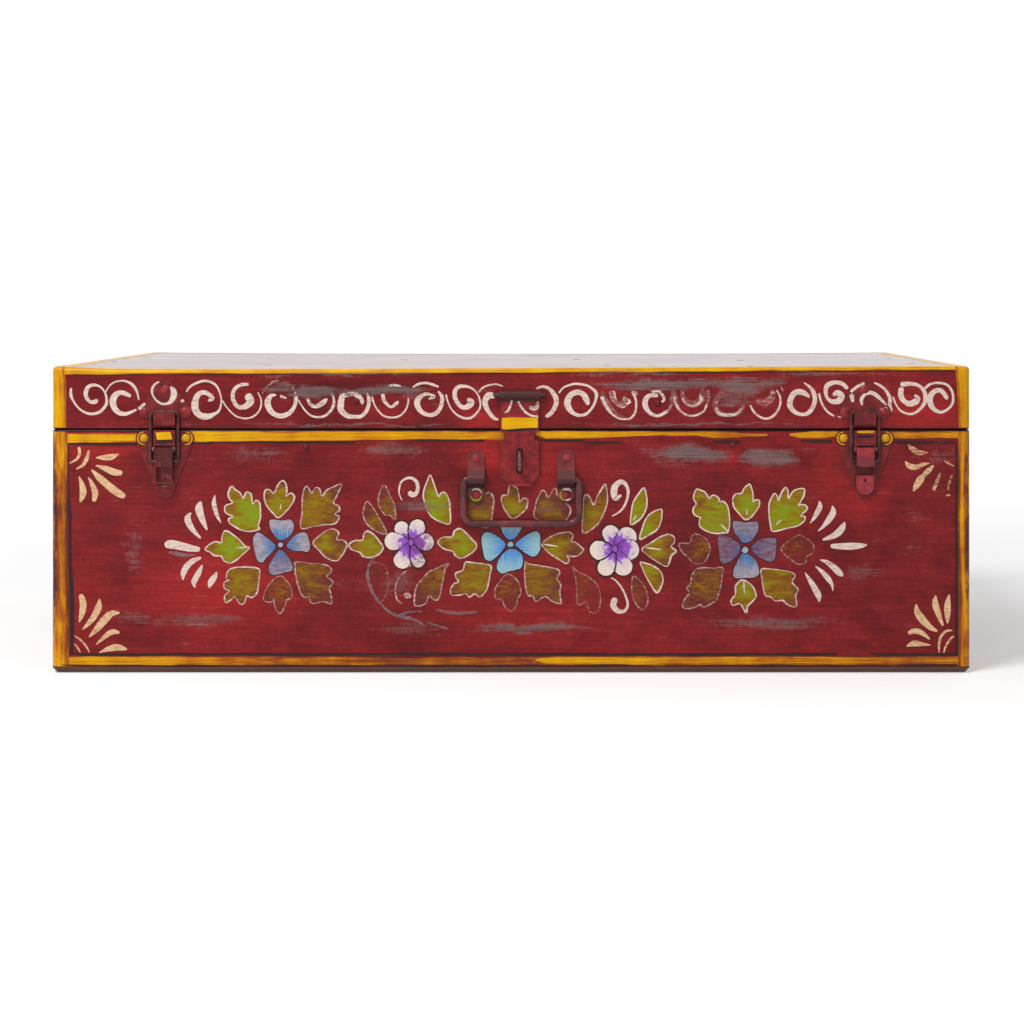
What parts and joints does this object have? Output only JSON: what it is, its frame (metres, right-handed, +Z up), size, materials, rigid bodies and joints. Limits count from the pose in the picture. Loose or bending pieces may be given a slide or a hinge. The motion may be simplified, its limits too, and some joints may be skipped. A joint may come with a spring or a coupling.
{
  "type": "storage trunk",
  "caption": "Sheet-steel storage trunk with a hinged lid, two toggle latches, a padlock hasp and a bail handle, painted maroon with folk flowers and scrolls.",
  "frame": {"origin": "centre of the underside, where the trunk stands", "axes": "+Z up, -Y out of the front with the latches, +X to the right of someone facing the front"},
  "size_m": [0.762, 0.4784, 0.254],
  "materials": {
    "trunk_paint": "maroon enamel brushed on sheet steel, hand-painted folk ornament over it, scuffed, under gloss varnish",
    "seam_brown": "dark brown worn paint on the seamed foot",
    "inside_paint": "thin red oxide paint, satin",
    "fitting_paint": "maroon paint over pressed steel, worn to grey at the edges",
    "rivet_paint": "maroon paint over rivet heads, rubbed",
    "worn_steel": "old drawn steel wire, dull grey with traces of paint",
    "yellow_paint": "hand-brushed yellow border enamel, streaked and worn",
    "line_paint": "hand-brushed near-black lining",
    "white_paint": "brushed off-white ornament, thin at the stroke ends",
    "leaf_paint": "leaf green shading to worn olive brown",
    "blue_paint": "brushed blue petals with pale streaks",
    "purple_paint": "purple blush at the heart of white petals"
  },
  "bodies": {
    "carcass": {"body_shell": "trunk_paint", "bottom_plate": "seam_brown", "rim_band": "inside_paint", "band_rivets": "rivet_paint", "latch_base_left": "fitting_paint", "latch_base_right": "fitting_paint", "latch_base_rivets": "rivet_paint", "lever_pin_left": "worn_steel", "lever_pin_right": "worn_steel", "staple": "worn_steel", "staple_washers": "inside_paint", "handle_clip_left": "fitting_paint", "handle_clip_right": "fitting_paint", "clip_rivets": "rivet_paint", "hinge_body_leaf_left": "fitting_paint", "hinge_body_leaf_right": "fitting_paint", "hinge_body_rivets": "rivet_paint", "hinge_pin_left": "worn_steel", "hinge_pin_right": "worn_steel"},
    "lid": {"lid_shell": "trunk_paint", "lid_rivets": "rivet_paint", "latch_catch_left": "fitting_paint", "latch_catch_right": "fitting_paint", "catch_rivets": "rivet_paint", "hasp_hanger": "worn_steel", "hinge_lid_leaf_left": "fitting_paint", "hinge_lid_leaf_right": "fitting_paint", "hinge_lid_rivets": "rivet_paint"},
    "hasp": {"hasp_plate": "fitting_paint"},
    "handle": {"handle_bail": "fitting_paint"},
    "lever_left": {"latch_lever_left": "fitting_paint"},
    "loop_left": {"latch_loop_left": "worn_steel"},
    "lever_right": {"latch_lever_right": "fitting_paint"},
    "loop_right": {"latch_loop_right": "worn_steel"}
  },
  "joints": [
    {"name": "lid_hinge", "type": "hinge", "parent": "carcass", "child": "lid", "pos_m": [0, 0.2323, 0.2015], "axis": [-1, 0, 0], "range_deg": [0, 180]},
    {"name": "hasp_swing", "type": "hinge", "parent": "lid", "child": "hasp", "pos_m": [0.0073, -0.2327, 0.2305], "axis": [-1, 0, 0], "range_deg": [0, 165]},
    {"name": "handle_swing", "type": "hinge", "parent": "carcass", "child": "handle", "pos_m": [0.0085, -0.2333, 0.1605], "axis": [-1, 0, 0], "range_deg": [0, 165]},
    {"name": "lever_left_lift", "type": "hinge", "parent": "carcass", "child": "lever_left", "pos_m": [-0.2867, -0.2341, 0.1855], "axis": [-1, 0, 0], "range_deg": [0, 150]},
    {"name": "loop_left_swing", "type": "hinge", "parent": "lever_left", "child": "loop_left", "pos_m": [-0.2867, -0.2325, 0.1755], "axis": [-1, 0, 0], "range_deg": [-210, 0]},
    {"name": "lever_right_lift", "type": "hinge", "parent": "carcass", "child": "lever_right", "pos_m": [0.293, -0.2341, 0.1855], "axis": [-1, 0, 0], "range_deg": [0, 150]},
    {"name": "loop_right_swing", "type": "hinge", "parent": "lever_right", "child": "loop_right", "pos_m": [0.293, -0.2325, 0.1755], "axis": [-1, 0, 0], "range_deg": [-210, 0]}
  ],
  "couplings": [
    {"joint": "loop_left_swing", "follows": "lever_left_lift", "ratio": -1.4},
    {"joint": "loop_right_swing", "follows": "lever_right_lift", "ratio": -1.4}
  ]
}
